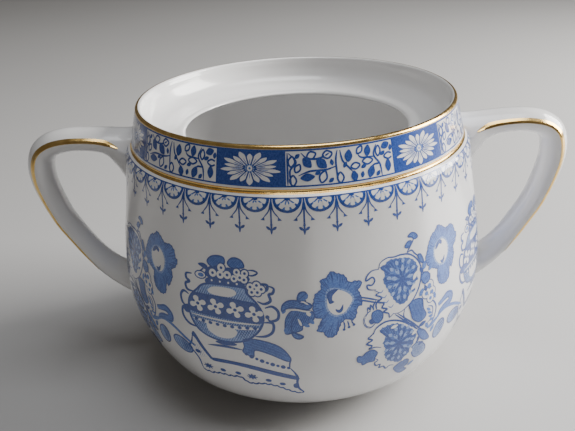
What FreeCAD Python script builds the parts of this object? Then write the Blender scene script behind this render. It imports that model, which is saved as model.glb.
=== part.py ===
import FreeCAD, Part
import math
import os

# Two-handled porcelain sugar bowl without its lid.
# Millimetres. Origin at the centre of the foot on the table, +Z up, handles along X, front towards -Y.

V = FreeCAD.Vector

# ---- driving dimensions -------------------------------------------------------------------------
RIM_HEIGHT = 88.5            # table to the top of the lip
RIM_RADIUS = 49.0            # outside of the lip
LIP_RADIUS = 1.1             # half thickness of the rounded lip
BELLY_RADIUS = 57.6          # widest radius of the belly
SHOULDER_RADIUS = 53.2       # top of the shoulder, just under the groove
GROOVE_DEPTH_Z = 11.74       # centre of the groove below the rim
GROOVE_RADIUS = 0.95         # radius of the concave groove
GROOVE_BOTTOM_RADIUS = 51.1  # distance of the groove's floor from the axis
WALL = 3.0                   # thickness of the pot's wall
FLOOR_TOP_Z = 6.2            # top of the floor inside
UNDERSIDE_Z = 2.6            # underside of the body inside the foot ring
FOOT_OUTER_RADIUS = 38.4
FOOT_INNER_RADIUS = 34.4
FOOT_EDGE = 0.9              # rounding at the edges of the foot ring
OPENING_RADIUS = 34.7        # radius of the hole in the ledge
OPENING_WALL = 1.6           # height of the upright wall round that hole
LEDGE_TOP_Z = 79.6           # flat top of the ledge
LEDGE_THICKNESS = 3.2
GILT_DEPTH = 0.45            # thickness given to the gold rings
HANDLE_WIDTH = 11.6          # across the strap, in Y
HANDLE_SIDE = 1.6            # flat part of the side face before the inside rounds over
HANDLE_GILT_WIDTH = 0.8      # gold line, measured up the crowned face
HANDLE_GILT_SIDE = 0.5       # gold line, measured down the side face
HANDLE_GILT_DEPTH = 0.14

# Outer profile of the belly: (radius, height), from the foot to the shoulder.
BELLY_PROFILE = [
    (38.6, UNDERSIDE_Z), (46.2, 6.5), (51.3, 12.5), (55.1, 20.5), (57.2, 29.5),
    (BELLY_RADIUS, 39.5), (56.6, 51.5), (54.8, 63.5), (SHOULDER_RADIUS, 75.0),
]

# The strap's edge line as (distance from the axis, drop below the rim, thickness, width share, crown),
# from the upper root round the bend to the lower root. It flares where it joins the pot.
HANDLE_STATIONS = [
    (50.0, 15.4, 11.8, 1.42, 7.2),
    (54.0, 13.7, 7.9, 1.28, 5.4),
    (57.4, 12.2, 5.8, 1.12, 3.8),
    (61.0, 11.2, 5.0, 1.03, 2.9),
    (66.5, 10.6, 4.7, 1.0, 2.6),
    (72.6, 10.7, 4.7, 1.0, 2.6),
    (78.1, 12.1, 5.0, 1.0, 2.7),
    (81.8, 15.3, 5.3, 1.0, 2.8),
    (83.2, 21.0, 5.3, 1.0, 2.8),
    (82.3, 28.0, 5.0, 1.0, 2.6),
    (78.8, 37.9, 4.4, 1.0, 2.2),
    (74.8, 45.0, 4.1, 0.98, 1.9),
    (70.0, 52.3, 4.1, 0.98, 1.8),
    (65.2, 57.9, 4.6, 1.02, 1.8),
    (59.4, 62.5, 5.8, 1.1, 1.8),
    (53.0, 65.8, 7.2, 1.18, 1.8),
]
HANDLE_GILT_START_X = 55.2   # the gold line keeps clear of the bowl
HANDLE_GILT_LOW_DROP = 55.5  # and ends at this drop below the rim


def revolve(face):
    return face.revolve(V(0, 0, 0), V(0, 0, 1), 360)


def closed_face(edges):
    return Part.Face(Part.Wire(Part.__sortEdges__(edges)))


def at(radius, height):
    return V(radius, 0, height)


def line(a, b):
    return Part.makeLine(a, b)


def arc(a, b, c):
    return Part.Arc(a, b, c).toShape()


def spline(points):
    curve = Part.BSplineCurve()
    curve.interpolate(points)
    return curve.toShape()


def collar_points():
    """Key points of the lip, collar and groove."""
    lip_centre = at(RIM_RADIUS - LIP_RADIUS, RIM_HEIGHT - LIP_RADIUS)
    groove_z = RIM_HEIGHT - GROOVE_DEPTH_Z
    return {
        "shoulder_top": at(SHOULDER_RADIUS, 75.0),
        "shoulder_mid": at(SHOULDER_RADIUS - 0.35, 75.65),
        "groove_low": at(GROOVE_BOTTOM_RADIUS + 1.05, groove_z - GROOVE_RADIUS + 0.15),
        "groove_mid": at(GROOVE_BOTTOM_RADIUS, groove_z),
        "groove_high": at(GROOVE_BOTTOM_RADIUS + 0.35, groove_z + GROOVE_RADIUS - 0.1),
        "lip_outer": at(RIM_RADIUS, lip_centre.z),
        "lip_top": at(lip_centre.x, RIM_HEIGHT),
        "lip_inner": at(RIM_RADIUS - 2 * LIP_RADIUS, lip_centre.z),
        "lip_centre": lip_centre,
    }


def outer_edges():
    """Outline of the pot's outside, from the foot's underside up to the top of the lip."""
    p = collar_points()
    belly = [at(r, z) for r, z in BELLY_PROFILE]
    return [
        spline(belly),
        arc(belly[-1], p["shoulder_mid"], p["groove_low"]),
        arc(p["groove_low"], p["groove_mid"], p["groove_high"]),
        line(p["groove_high"], p["lip_outer"]),
    ]


def filled_pot():
    """The pot as if it were solid, used to trim the handles."""
    p = collar_points()
    top = at(0, RIM_HEIGHT - LIP_RADIUS)
    bottom = at(0, UNDERSIDE_Z)
    edges = outer_edges()
    edges.append(line(p["lip_outer"], top))
    edges.append(line(top, bottom))
    edges.append(line(bottom, at(*BELLY_PROFILE[0])))
    return revolve(closed_face(edges))


def hollow_pot():
    """Wall, floor, shoulder and collar."""
    p = collar_points()
    lip_turn = LIP_RADIUS * math.sqrt(0.5)
    lip_edge = arc(p["lip_outer"], p["lip_top"], p["lip_inner"])
    inside = [at(r - WALL, z) for r, z in BELLY_PROFILE[3:]]
    inside[-1] = at(SHOULDER_RADIUS - WALL - 0.8, 74.0)
    floor_edge = at(38.0, FLOOR_TOP_Z + 1.0)
    floor_turn = at(45.6, 12.0)
    floor_centre = at(0, FLOOR_TOP_Z)
    bottom = at(0, UNDERSIDE_Z)
    edges = outer_edges()
    edges.append(lip_edge)
    edges.append(line(p["lip_inner"], at(45.6, RIM_HEIGHT - 6.5)))
    edges.append(line(at(45.6, RIM_HEIGHT - 6.5), inside[-1]))
    edges.append(spline([floor_centre + V(20, 0, 0), floor_edge, floor_turn] + inside))
    edges.append(line(floor_centre + V(20, 0, 0), floor_centre))
    edges.append(line(floor_centre, bottom))
    edges.append(line(bottom, at(*BELLY_PROFILE[0])))
    return revolve(closed_face(edges))


def lid_gallery(pot):
    """Ledge ring inside the collar, coved up to the wall and rounded at its inner lip."""
    under = LEDGE_TOP_Z - LEDGE_THICKNESS
    wall_low = under + 0.8
    wall_high = wall_low + OPENING_WALL
    edges = [
        line(at(OPENING_RADIUS, wall_low), at(OPENING_RADIUS, wall_high)),
        arc(at(OPENING_RADIUS, wall_high), at(OPENING_RADIUS + 0.3, LEDGE_TOP_Z - 0.25),
            at(OPENING_RADIUS + 1.0, LEDGE_TOP_Z)),
        line(at(OPENING_RADIUS + 1.0, LEDGE_TOP_Z), at(41.0, LEDGE_TOP_Z)),
        arc(at(41.0, LEDGE_TOP_Z), at(44.4, LEDGE_TOP_Z + 1.5), at(46.0, LEDGE_TOP_Z + 4.4)),
        line(at(46.0, LEDGE_TOP_Z + 4.4), at(48.2, LEDGE_TOP_Z + 4.4)),
        line(at(48.2, LEDGE_TOP_Z + 4.4), at(50.8, under - 1.6)),
        line(at(50.8, under - 1.6), at(46.5, under)),
        line(at(46.5, under), at(OPENING_RADIUS + 0.9, under)),
        arc(at(OPENING_RADIUS + 0.9, under), at(OPENING_RADIUS + 0.25, under + 0.25),
            at(OPENING_RADIUS, wall_low)),
    ]
    return revolve(closed_face(edges)).cut(pot)


def foot_ring():
    """Ring under the pot, with rounded edges and a flat ground face to rest on."""
    e = FOOT_EDGE
    k = e * (1 - math.sqrt(0.5))
    ro = FOOT_OUTER_RADIUS
    ri = FOOT_INNER_RADIUS
    edges = [
        line(at(ri + e, 0), at(ro - e, 0)),
        arc(at(ro - e, 0), at(ro - k, k), at(ro, e)),
        line(at(ro, e), at(ro, UNDERSIDE_Z)),
        line(at(ro, UNDERSIDE_Z), at(ri, UNDERSIDE_Z)),
        line(at(ri, UNDERSIDE_Z), at(ri, e)),
        arc(at(ri, e), at(ri + k, k), at(ri + e, 0)),
    ]
    return revolve(closed_face(edges))


def half_torus_shell(centre, r_in, r_out):
    """Tube between two circles of the outline, turned about the axis."""
    outer = Part.makeTorus(centre.x, r_out, V(0, 0, centre.z), V(0, 0, 1))
    inner = Part.makeTorus(centre.x, r_in, V(0, 0, centre.z), V(0, 0, 1))
    return outer.cut(inner)


def ring(r_in, r_out, z_low, z_high):
    outer = Part.makeCylinder(r_out, z_high - z_low, V(0, 0, z_low))
    inner = Part.makeCylinder(r_in, z_high - z_low, V(0, 0, z_low))
    return outer.cut(inner)


def rim_gilding(pot):
    """Gold line round the outer edge of the lip."""
    centre = collar_points()["lip_centre"]
    band = half_torus_shell(centre, LIP_RADIUS - GILT_DEPTH, LIP_RADIUS + 0.3)
    zone = ring(centre.x + 0.35, RIM_RADIUS + 1.0, centre.z - 0.1, RIM_HEIGHT + 1.0)
    return band.common(zone).common(pot)


def groove_gilding(pot):
    """Gold line in the groove between the collar and the shoulder."""
    p = collar_points()
    curve = arc(p["groove_low"], p["groove_mid"], p["groove_high"]).Curve
    band = Part.makeTorus(curve.Center.x, curve.Radius + GILT_DEPTH, V(0, 0, curve.Center.z), V(0, 0, 1))
    zone = ring(GROOVE_BOTTOM_RADIUS - 1.0, SHOULDER_RADIUS + 1.0,
                p["groove_low"].z + 0.05, p["groove_high"].z - 0.05)
    return band.common(zone).common(pot)


def station_frame(index):
    """Edge point, inner point, outward direction, half width and crown of one station of the strap."""
    last = len(HANDLE_STATIONS) - 1
    x0, drop0 = HANDLE_STATIONS[max(index - 1, 0)][:2]
    x1, drop1 = HANDLE_STATIONS[min(index + 1, last)][:2]
    x, drop, thick, share, rise = HANDLE_STATIONS[index]
    along = V(x1 - x0, 0, drop0 - drop1).normalize()
    out = V(-along.z, 0, along.x)
    edge = V(x, 0, RIM_HEIGHT - drop)
    return edge, edge - out * thick, out, HANDLE_WIDTH / 2 * share, rise


def strap_section(index):
    edge, inner, out, half, rise = station_frame(index)
    side = V(0, half, 0)
    low = edge - out * HANDLE_SIDE
    edges = [
        arc(edge - side, edge + out * rise, edge + side),
        line(edge + side, low + side),
        arc(low + side, inner, low - side),
        line(low - side, edge - side),
    ]
    return Part.Wire(edges)


def strap(pot_filled):
    sections = [strap_section(i) for i in range(len(HANDLE_STATIONS))]
    body = Part.makeLoft(sections, True, False)
    return body.cut(pot_filled)


def crown_height(y, half, rise):
    """Height of the outer face above its edges, at distance y from the middle of the strap."""
    radius = (half * half + rise * rise) / (2 * rise)
    return math.sqrt(radius * radius - y * y) - (radius - rise)


def gilt_section(index, sign):
    """Thin L round one edge of the strap, reaching a little outside it."""
    edge, _, out, half, rise = station_frame(index)
    y_in = half - HANDLE_GILT_WIDTH
    inset = crown_height(y_in, half, rise)
    corners = [
        (-HANDLE_GILT_SIDE, half + 0.4),
        (-HANDLE_GILT_SIDE, half - HANDLE_GILT_DEPTH),
        (-HANDLE_GILT_DEPTH, half - HANDLE_GILT_DEPTH),
        (inset - HANDLE_GILT_DEPTH, y_in),
        (inset + 0.5, y_in),
        (0.7, half + 0.4),
    ]
    points = [edge + out * a + V(0, sign * b, 0) for a, b in corners]
    return Part.makePolygon(points + [points[0]])


def gilt_zone(sign):
    sections = [gilt_section(i, sign) for i in range(len(HANDLE_STATIONS))]
    strip = Part.makeLoft(sections, True, False)
    low = RIM_HEIGHT - HANDLE_GILT_LOW_DROP
    window = Part.makeBox(60, 40, 90, V(HANDLE_GILT_START_X, -20, low))
    return strip.common(window)


def mirrored(shape):
    return shape.mirror(V(0, 0, 0), V(1, 0, 0))


def build():
    pot = hollow_pot()
    filled = filled_pot()
    gold_rim = rim_gilding(pot)
    gold_groove = groove_gilding(pot)
    handle = strap(filled)
    zones = {"front": gilt_zone(-1), "back": gilt_zone(1)}
    gold = {name: handle.common(zone) for name, zone in zones.items()}
    clay = handle.cut(zones["front"]).cut(zones["back"])
    parts = {
        "bowl_body": pot.cut(gold_rim).cut(gold_groove),
        "lid_gallery": lid_gallery(pot),
        "foot_ring": foot_ring(),
        "rim_gilding": gold_rim,
        "groove_gilding": gold_groove,
        "right_handle": clay,
        "left_handle": mirrored(clay),
    }
    for name, shape in gold.items():
        parts["right_handle_gilding_" + name] = shape
        parts["left_handle_gilding_" + name] = mirrored(shape)
    return parts


def main():
    os.makedirs("parts", exist_ok=True)
    for node, shape in build().items():
        solids = shape.Solids
        box = shape.BoundBox
        print(node, "solids", len(solids), "valid", shape.isValid(), "volume", round(shape.Volume, 2),
              "box", [round(v, 2) for v in (box.XMin, box.YMin, box.ZMin, box.XMax, box.YMax, box.ZMax)])
        body = solids[0] if len(solids) == 1 else Part.makeCompound(solids)
        body.exportStep("parts/%s.step" % node)


main()
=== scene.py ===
import math

import bpy
from mathutils import Matrix, Vector
from mathutils.geometry import delaunay_2d_cdt


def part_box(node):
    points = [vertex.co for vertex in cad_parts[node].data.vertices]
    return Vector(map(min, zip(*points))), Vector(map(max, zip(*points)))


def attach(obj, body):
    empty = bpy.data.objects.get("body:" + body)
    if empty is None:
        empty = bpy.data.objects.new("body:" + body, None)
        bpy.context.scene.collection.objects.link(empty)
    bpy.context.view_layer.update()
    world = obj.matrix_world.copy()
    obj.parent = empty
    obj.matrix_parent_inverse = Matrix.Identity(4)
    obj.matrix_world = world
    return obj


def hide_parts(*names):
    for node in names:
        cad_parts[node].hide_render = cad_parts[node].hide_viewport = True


# Two-handled sugar bowl: glazed porcelain, blue printed pattern, gilt lines.
# Shapes are drawn in millimetres. The height h is measured down from the rim (h = 0), so it is negative.
# An angle a is in degrees from the front (-Y) towards +X. On the belly one degree is about one millimetre.
# Points of the print are (angle, height). Later layers lie a little further off the glaze.

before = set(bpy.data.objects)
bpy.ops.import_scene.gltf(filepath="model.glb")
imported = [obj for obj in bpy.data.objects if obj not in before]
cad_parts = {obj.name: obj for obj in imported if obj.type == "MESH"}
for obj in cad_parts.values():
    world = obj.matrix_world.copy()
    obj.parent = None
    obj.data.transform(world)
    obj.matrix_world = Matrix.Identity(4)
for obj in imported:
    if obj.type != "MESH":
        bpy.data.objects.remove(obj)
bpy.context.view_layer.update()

MM = 0.001
RIM_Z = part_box("bowl_body")[1][2] / MM
FOOT_H = -RIM_Z
BELLY_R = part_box("bowl_body")[1][0] / MM
STRAP_W = 11.6
STRAP_SIDE = 1.0
GILT_START_X = 55.2
GILT_LOW_H = -55.5
LIP_R = 0.85
RIM_R = BELLY_R - 8.6
GROOVE_H = -11.4
COLLAR_LOW_H = -10.75
COLLAR_FLARE = 2.3
SHOULDER_H = -12.4
LEDGE_H = -8.9
OPENING_R = 34.7
PANELS = 10
PANEL_DEPTH = 0.27
PANEL_SOFT = 3.2
PANEL_MEAN = 0.9835
PRINT_LIFT = 0.02
PEN = 1.4
LAYER_LIFT = 0.012
STEPS_ROUND = 480
SHARP_ANGLE = 38
SCENES = 4

CAMERA_TILT = 24.83
CAMERA_ROLL = -2.62
CAMERA_DISTANCE = 248.9
CAMERA_LENS = 46.96
AIM = (-4.11, 0, RIM_Z - 41.62)

# Radius of the outside against height, from the shoulder down to the foot.
BELLY = [
    (SHOULDER_H, BELLY_R - 5.2), (-14.6, BELLY_R - 4.15), (-18.5, BELLY_R - 3.6), (-25.0, BELLY_R - 2.8),
    (-37.0, BELLY_R - 1.0), (-49.0, BELLY_R), (-59.0, BELLY_R - 0.4), (-68.0, BELLY_R - 2.5),
    (-76.0, BELLY_R - 6.3), (-82.0, BELLY_R - 11.4), (-85.9, BELLY_R - 19.0),
]


# ---------------------------------------------------------------- curves and surfaces

def catmull(p0, p1, p2, p3, t):
    """Point on a smooth curve between p1 and p2."""
    out = []
    for a, b, c, d in zip(p0, p1, p2, p3):
        out.append(0.5 * (2 * b + (c - a) * t + (2 * a - 5 * b + 4 * c - d) * t * t
                          + (3 * b - a - 3 * c + d) * t ** 3))
    return tuple(out)


def smooth(points, closed=False, step=0.5):
    """Smooth curve through the points, sampled about every step."""
    n = len(points)
    out = []
    for i in range(n if closed else n - 1):
        p1 = points[i]
        p2 = points[(i + 1) % n]
        p0 = points[(i - 1) % n] if closed or i > 0 else p1
        p3 = points[(i + 2) % n] if closed or i + 2 < n else p2
        count = max(2, math.ceil(math.dist(p1, p2) / step))
        out += [catmull(p0, p1, p2, p3, j / count) for j in range(count)]
    if not closed:
        out.append(tuple(points[-1]))
    return out


BELLY_CURVE = smooth(BELLY, step=0.25)


def belly_radius(h):
    """Radius of the belly at height h, read from the smooth profile."""
    h = max(min(h, BELLY_CURVE[0][0]), BELLY_CURVE[-1][0])
    low = 0
    high = len(BELLY_CURVE) - 1
    while high - low > 1:
        mid = (low + high) // 2
        if BELLY_CURVE[mid][0] >= h:
            low = mid
        else:
            high = mid
    (h0, r0), (h1, r1) = BELLY_CURVE[low], BELLY_CURVE[high]
    return r0 + (r1 - r0) * (h0 - h) / max(h0 - h1, 1e-6)


def ease(x):
    x = max(0.0, min(1.0, x))
    return x * x * (3 - 2 * x)


def panel_factor(a, h):
    """Soft flat panels on the belly: a rounded polygon that fades out at the shoulder and the foot."""
    pitch = 360.0 / PANELS
    phi = (a % pitch) - pitch / 2
    corner = pitch / 2 - abs(phi)
    if corner < PANEL_SOFT:
        phi_eff = pitch / 2 - (PANEL_SOFT + corner * corner / PANEL_SOFT) / 2
    else:
        phi_eff = abs(phi)
    polygon = math.cos(math.radians(pitch / 2)) / math.cos(math.radians(phi_eff)) / PANEL_MEAN
    strength = PANEL_DEPTH * ease((SHOULDER_H - h) / 9.0) * ease((h + 85.0) / 16.0)
    return 1 + strength * (polygon - 1)


def collar_radius(h):
    """The collar widens evenly from the lip down to the groove."""
    return RIM_R + COLLAR_FLARE * (-LIP_R - h) / (-LIP_R - COLLAR_LOW_H)


def outside_radius(a, h):
    if h > GROOVE_H:
        return collar_radius(h)
    return belly_radius(h) * panel_factor(a, h)


def place(a, radius, h):
    t = math.radians(a)
    return (radius * math.sin(t) * MM, -radius * math.cos(t) * MM, (RIM_Z + h) * MM)


def on_surface(a, h, lift):
    """Point on the bowl's outside, lifted off it along the slope of the wall."""
    slope = (outside_radius(a, h + 0.2) - outside_radius(a, h - 0.2)) / 0.4
    norm = math.hypot(1, slope)
    return place(a, outside_radius(a, h) + lift / norm, h - lift * slope / norm)


# ---------------------------------------------------------------- materials

def new_material(name):
    mat = bpy.data.materials.new(name)
    mat.use_nodes = True
    nodes = mat.node_tree.nodes
    return mat, nodes, mat.node_tree.links, nodes["Principled BSDF"]


def add_noise(nodes, links, scale, detail):
    coords = nodes.new("ShaderNodeTexCoord")
    noise = nodes.new("ShaderNodeTexNoise")
    noise.inputs["Scale"].default_value = scale
    noise.inputs["Detail"].default_value = detail
    links.new(coords.outputs["Object"], noise.inputs["Vector"])
    return noise


def add_ramp(nodes, links, source, stops):
    ramp = nodes.new("ShaderNodeValToRGB")
    elements = ramp.color_ramp.elements
    while len(elements) < len(stops):
        elements.new(0.5)
    for element, (position, colour) in zip(elements, stops):
        element.position = position
        element.color = (*colour, 1)
    links.new(source, ramp.inputs["Fac"])
    return ramp


def glaze(bsdf):
    """Clear glossy glaze, the same over the white clay and over the print."""
    bsdf.inputs["Roughness"].default_value = 0.22
    bsdf.inputs["IOR"].default_value = 1.5
    bsdf.inputs["Coat Weight"].default_value = 0.6
    bsdf.inputs["Coat Roughness"].default_value = 0.05


def bumped(nodes, links, bsdf, source, strength, distance):
    bump = nodes.new("ShaderNodeBump")
    bump.inputs["Strength"].default_value = strength
    bump.inputs["Distance"].default_value = distance
    links.new(source, bump.inputs["Height"])
    links.new(bump.outputs["Normal"], bsdf.inputs["Normal"])


def porcelain_material():
    mat, nodes, links, bsdf = new_material("porcelain")
    cloud = add_noise(nodes, links, 28.0, 4.0)
    ramp = add_ramp(nodes, links, cloud.outputs["Fac"],
                    [(0.3, (0.74, 0.735, 0.735)), (0.7, (0.80, 0.795, 0.79))])
    links.new(ramp.outputs["Color"], bsdf.inputs["Base Color"])
    glaze(bsdf)
    ripple = add_noise(nodes, links, 45.0, 1.0)
    bumped(nodes, links, bsdf, ripple.outputs["Fac"], 0.08, 0.0008)
    return mat


def ink_material(name, pale, deep):
    """Cobalt print: the ink is uneven, with fine engraved grain."""
    mat, nodes, links, bsdf = new_material(name)
    grain = add_noise(nodes, links, 2600.0, 3.0)
    ramp = add_ramp(nodes, links, grain.outputs["Fac"], [(0.36, deep), (0.66, pale)])
    links.new(ramp.outputs["Color"], bsdf.inputs["Base Color"])
    glaze(bsdf)
    return mat


def gold_material():
    """Fired gold, thin and a little worn."""
    mat, nodes, links, bsdf = new_material("gilding")
    wear = add_noise(nodes, links, 420.0, 5.0)
    colour = add_ramp(nodes, links, wear.outputs["Fac"],
                      [(0.25, (0.78, 0.49, 0.15)), (0.60, (0.94, 0.65, 0.24)), (0.80, (0.98, 0.79, 0.44))])
    metal = add_ramp(nodes, links, wear.outputs["Fac"], [(0.64, (1, 1, 1)), (0.84, (0.60, 0.60, 0.60))])
    rough = add_ramp(nodes, links, wear.outputs["Fac"],
        [(0.3, (0.16, 0.16, 0.16)), (0.7, (0.27, 0.27, 0.27))])
    links.new(colour.outputs["Color"], bsdf.inputs["Base Color"])
    links.new(metal.outputs["Color"], bsdf.inputs["Metallic"])
    links.new(rough.outputs["Color"], bsdf.inputs["Roughness"])
    return mat


def floor_material():
    mat, nodes, links, bsdf = new_material("pale_floor")
    cloud = add_noise(nodes, links, 2.0, 3.0)
    ramp = add_ramp(nodes, links, cloud.outputs["Fac"],
                    [(0.3, (0.45, 0.445, 0.44)), (0.7, (0.49, 0.485, 0.48))])
    links.new(ramp.outputs["Color"], bsdf.inputs["Base Color"])
    bsdf.inputs["Roughness"].default_value = 0.6
    return mat


PORCELAIN = porcelain_material()
GOLD = gold_material()
INKS = {
    "dark": ink_material("ink_dark", (0.045, 0.100, 0.370), (0.020, 0.055, 0.245)),
    "mid": ink_material("ink_mid", (0.115, 0.235, 0.600), (0.045, 0.122, 0.440)),
    "light": ink_material("ink_light", (0.360, 0.470, 0.740), (0.170, 0.290, 0.610)),
    "white": PORCELAIN,
}
INK_NAMES = list(INKS)


# ---------------------------------------------------------------- mesh helpers

def add_object(name, verts, faces, material, smooth_shade=True):
    mesh = bpy.data.meshes.new(name)
    mesh.from_pydata(verts, [], faces)
    mesh.validate()
    mesh.update()
    for polygon in mesh.polygons:
        polygon.use_smooth = smooth_shade
    if smooth_shade:
        mesh.set_sharp_from_angle(angle=math.radians(SHARP_ANGLE))
    obj = bpy.data.objects.new(name, mesh)
    bpy.context.scene.collection.objects.link(obj)
    if material:
        mesh.materials.append(material)
    return obj


def turned(name, outline, material, radius_of=None, closed=True, steps=STEPS_ROUND):
    """Turns an outline of (radius, height) about the axis. Radius 0 closes in a point."""
    verts = []
    faces = []
    rows = []
    for r, h in outline:
        if r < 1e-6:
            rows.append([len(verts)] * steps)
            verts.append(place(0, 0, h))
            continue
        row = []
        for i in range(steps):
            a = 360.0 * i / steps
            row.append(len(verts))
            verts.append(place(a, radius_of(a, r, h) if radius_of else r, h))
        rows.append(row)
    count = len(rows) if closed else len(rows) - 1
    for k in range(count):
        one = rows[k]
        two = rows[(k + 1) % len(rows)]
        for i in range(steps):
            j = (i + 1) % steps
            corners = [one[i], one[j], two[j], two[i]]
            unique = list(dict.fromkeys(corners))
            if len(unique) > 2:
                faces.append(unique)
    return add_object(name, verts, faces, material)


def arc_points(centre, radius, start, end, count):
    cx, cy = centre
    out = []
    for i in range(count + 1):
        t = math.radians(start + (end - start) * i / count)
        out.append((cx + radius * math.cos(t), cy + radius * math.sin(t)))
    return out


# ---------------------------------------------------------------- the clay pieces

GROOVE = [(RIM_R + COLLAR_FLARE, COLLAR_LOW_H), (RIM_R + 2.05, -11.05), (RIM_R + 2.15, -11.6),
          (RIM_R + 2.75, -11.95), (BELLY_R - 5.2, SHOULDER_H)]
COVE = [(RIM_R - 2.1, -2.2), (RIM_R - 2.6, -4.2), (RIM_R - 4.0, -6.6), (RIM_R - 6.8, -8.2),
    (RIM_R - 10.2, LEDGE_H), (OPENING_R + 1.5, LEDGE_H - 0.2), (OPENING_R + 0.45, LEDGE_H - 0.5),
    (OPENING_R, LEDGE_H - 1.0)]


def collar_outline():
    """Outline from the groove up round the lip and down inside to the ledge's cove."""
    groove = smooth(GROOVE, step=0.15)[::-1][1:-1]
    heights = [COLLAR_LOW_H + (-LIP_R - COLLAR_LOW_H) * k / 6 for k in range(6)]
    wall = [(collar_radius(h), h) for h in heights]
    top = arc_points((RIM_R - LIP_R, -LIP_R), LIP_R, 0, 176, 14)
    inner = [(RIM_R - 1.85, -1.5), COVE[0]]
    return groove + wall + top + inner


def body_outline():
    outside = [(r, h) for h, r in reversed(smooth(BELLY, step=1.0))]
    inside = [(47.6, -8.0), (48.6, -14.0), (50.6, -22.0), (53.6, -37.0), (54.6, -49.0), (54.2, -58.0),
              (52.0, -67.5), (48.0, -75.5), (41.5, -80.8), (30.0, -82.2), (12.0, -82.3), (0.0, -82.3)]
    underside = [(0.0, -85.9), (20.0, -85.9), (BELLY_R - 20.0, -85.9)]
    return outside, collar_outline(), smooth(inside, step=2.0), underside


def make_body():
    outside, collar, inside, underside = body_outline()
    outline = outside + collar + inside + underside
    panelled = set(outside)

    def radius_of(a, r, h):
        return r * panel_factor(a, h) if (r, h) in panelled else r

    obj = turned("body_of_bowl", outline, PORCELAIN, radius_of)
    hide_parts("bowl_body")
    return obj


def make_gallery():
    """Inward ledge with a long cove up to the lip, rounded and undercut at its inner edge."""
    top = smooth(COVE, step=0.5)
    low = [(OPENING_R + 0.35, LEDGE_H - 1.5), (OPENING_R + 1.6, LEDGE_H - 2.1), (40.0, LEDGE_H - 3.0),
        (46.5, LEDGE_H - 3.4)]
    back = [(49.4, LEDGE_H - 4.4), (47.6, -8.0), (47.3, -4.5)]
    obj = turned("ledge_for_lid", top + low + back, PORCELAIN)
    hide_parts("lid_gallery")
    return obj


def make_foot():
    outer = 38.4
    inner = 34.4
    turn = 0.9
    top = FOOT_H + 3.2
    outline = [(outer, top)]
    outline += arc_points((outer - turn, FOOT_H + turn), turn, 0, -90, 6)
    outline += arc_points((inner + turn, FOOT_H + turn), turn, -90, -180, 6)
    outline.append((inner, top))
    obj = turned("foot", outline, PORCELAIN)
    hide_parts("foot_ring")
    return obj


# Strap stations along its gilt edge: distance from the axis, height, thickness, width as a share, crown.
STATIONS = [
    (50.0, -15.4, 11.8, 1.42, 7.2), (54.0, -13.7, 7.9, 1.28, 5.4), (57.4, -12.2, 5.8, 1.12, 3.8),
    (61.0, -11.2, 5.0, 1.03, 2.9), (66.5, -10.6, 4.7, 1.0, 2.6), (72.6, -10.7, 4.7, 1.0, 2.6),
    (78.1, -12.1, 5.0, 1.0, 2.7), (81.8, -15.3, 5.3, 1.0, 2.8), (83.2, -21.0, 5.3, 1.0, 2.8),
    (82.3, -28.0, 5.0, 1.0, 2.6), (78.8, -37.9, 4.4, 1.0, 2.2), (74.8, -45.0, 4.1, 0.98, 1.9),
    (70.0, -52.3, 4.1, 0.98, 1.8), (65.2, -57.9, 4.6, 1.02, 1.8), (59.4, -62.5, 5.8, 1.1, 1.8),
    (53.0, -65.8, 7.2, 1.18, 1.8),
]


def station_rows(step):
    """Strap stations at even steps: edge point, outward direction, thickness, half width and crown."""
    line = smooth(STATIONS, step=step)
    rows = []
    for k, (x, h, thick, share, rise) in enumerate(line):
        x0, h0 = line[max(k - 1, 0)][:2]
        x1, h1 = line[min(k + 1, len(line) - 1)][:2]
        length = math.hypot(x1 - x0, h1 - h0)
        rows.append((x, h, (h0 - h1) / length, (x1 - x0) / length, thick, STRAP_W / 2 * share, rise))
    return rows


def crown(y, half, rise):
    """Height of the strap's outer face above its gilt edges."""
    return rise * (1 - (y / half) ** 2)


def strap_section(thick, half, rise):
    """Section of the strap as (out, y): crowned outside, soft edges, half round towards the bowl."""
    points = []
    for i in range(17):
        y = -half * math.cos(math.pi * i / 16)
        points.append((crown(y, half, rise), y))
    points.append((-0.35, half + 0.28))
    deep = thick - STRAP_SIDE
    for i in range(15):
        t = math.pi * i / 14
        points.append((-STRAP_SIDE - deep * math.sin(t), (half + 0.35) * math.cos(t)))
    points.append((-0.35, -half - 0.28))
    return points


def strap_vertex(side, row, out, y):
    x, h, out_x, out_h = row[:4]
    return (side * (x + out_x * out) * MM, y * MM, (RIM_Z + h + out_h * out) * MM)


def make_handle(side, node):
    verts = []
    faces = []
    rows = station_rows(0.8)
    count = 0
    for row in rows:
        section = strap_section(*row[4:7])
        count = len(section)
        verts += [strap_vertex(side, row, out, y) for out, y in section]
    for k in range(len(rows) - 1):
        for i in range(count):
            j = (i + 1) % count
            face = [k * count + i, k * count + j, (k + 1) * count + j, (k + 1) * count + i]
            faces.append(face if side > 0 else face[::-1])
    last = (len(rows) - 1) * count
    ends = [list(range(count))[::-1], [last + i for i in range(count)]]
    faces += ends if side > 0 else [end[::-1] for end in ends]
    obj = add_object(node + "_strap", verts, faces, PORCELAIN)
    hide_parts(node)
    return obj


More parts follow.
